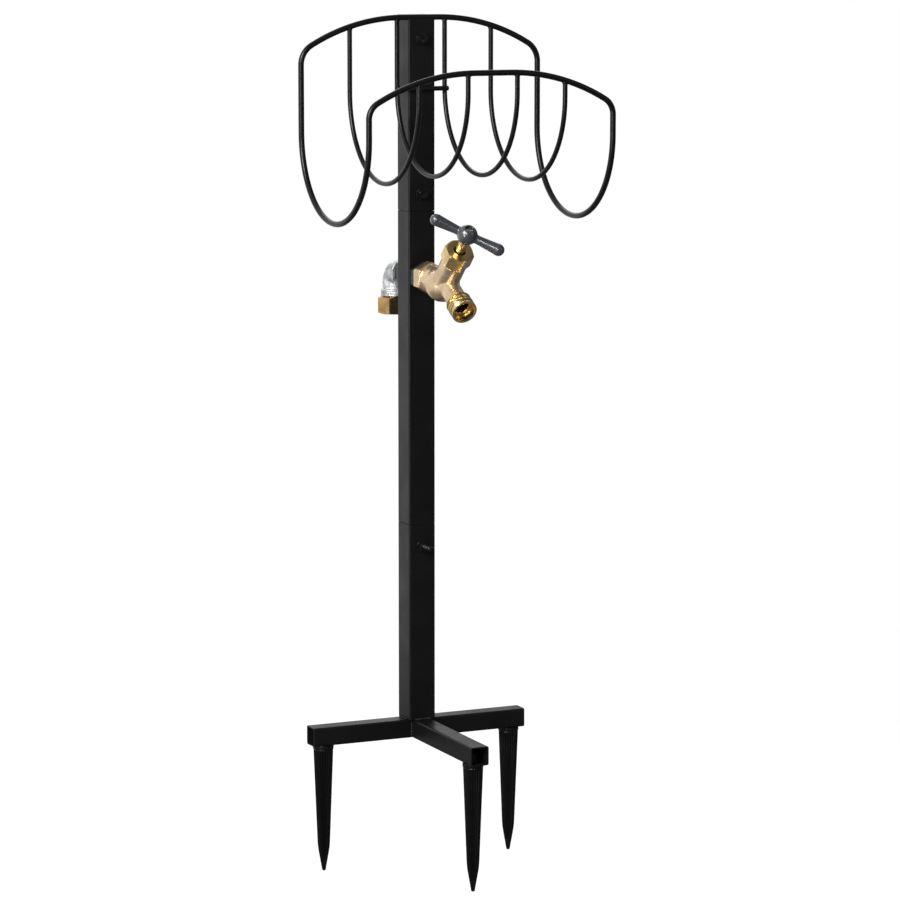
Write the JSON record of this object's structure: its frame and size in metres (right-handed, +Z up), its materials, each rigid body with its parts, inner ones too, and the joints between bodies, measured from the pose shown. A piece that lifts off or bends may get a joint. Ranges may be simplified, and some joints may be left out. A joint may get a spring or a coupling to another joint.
{
  "type": "hose holder post",
  "caption": "Square-tube garden post on ground spikes with a wire hose rack, a faucet with a T handle and a swivel hose inlet behind.",
  "frame": {"origin": "on the post's axis at ground level, which is the underside of the T-shaped foot; the spikes reach below it", "axes": "+Z up along the post; -Y is the front, where the rack, the faucet and the front arm are; +X is to the right seen from the front"},
  "size_m": [0.274, 0.266, 0.9015],
  "materials": {
    "powder_coat": "satin black powder coat",
    "wire_coat": "satin black powder coat on wire",
    "connector_steel": "dark coated steel",
    "spike_plastic": "black moulded plastic, fluted",
    "cap_plastic": "black moulded plastic",
    "black_bolt": "black oxide",
    "black_pipe": "black steel pipe",
    "galvanised": "mottled hot-dip galvanised",
    "cast_bronze": "sand-cast, satin",
    "turned_brass": "machined",
    "brass_screw": "machined",
    "handle_paint": "glossy dark grey enamel on a casting",
    "zinc_screw": "zinc plated",
    "black_rubber": "moulded rubber"
  },
  "bodies": {
    "stand": {"base_cross_bar": "powder_coat", "base_front_arm": "powder_coat", "spike_left": "spike_plastic", "spike_right": "spike_plastic", "spike_front": "spike_plastic", "lower_post": "powder_coat", "middle_post": "powder_coat", "upper_post": "powder_coat", "lower_connector": "connector_steel", "upper_connector": "connector_steel", "post_cap": "cap_plastic", "rack_hoop": "wire_coat", "rib_outer_left": "wire_coat", "rib_inner_left": "wire_coat", "rib_inner_right": "wire_coat", "rib_outer_right": "wire_coat", "rack_cross_bar": "wire_coat", "cap_bolt": "black_bolt", "upper_joint_bolt": "black_bolt", "lower_joint_bolt": "black_bolt", "bolt_washers": "black_bolt", "bolt_nuts": "black_bolt", "pipe_nipple": "black_pipe", "front_locknut": "black_pipe", "pipe_locknut": "black_pipe", "faucet_body": "cast_bronze", "bonnet_nut": "turned_brass", "packing_ring": "black_rubber", "elbow": "galvanised", "swivel_tail": "turned_brass"},
    "valve_washer": {"seat_washer": "black_rubber"},
    "handle_and_stem": {"stem": "turned_brass", "washer_screw": "brass_screw", "handle": "handle_paint", "handle_screw": "zinc_screw"},
    "inlet_nut": {"swivel_nut": "turned_brass", "hose_washer": "black_rubber"}
  },
  "joints": [
    {"name": "washer_lift", "type": "slide", "parent": "stand", "child": "valve_washer", "axis": [0, -0.7193, 0.6947], "range_m": [0, 0.0075]},
    {"name": "handle_turn", "type": "hinge", "parent": "valve_washer", "child": "handle_and_stem", "pos_m": [0, -0.074, 0.4925], "axis": [0, -0.7193, 0.6947], "range_deg": [0, 900]},
    {"name": "inlet_swivel", "type": "hinge", "parent": "stand", "child": "inlet_nut", "pos_m": [0, 0.0575, 0.4545], "axis": [0, 0, 1], "continuous": true}
  ],
  "couplings": [
    {"joint": "washer_lift", "follows": "handle_turn", "m_per_rad": 0.0004774}
  ]
}
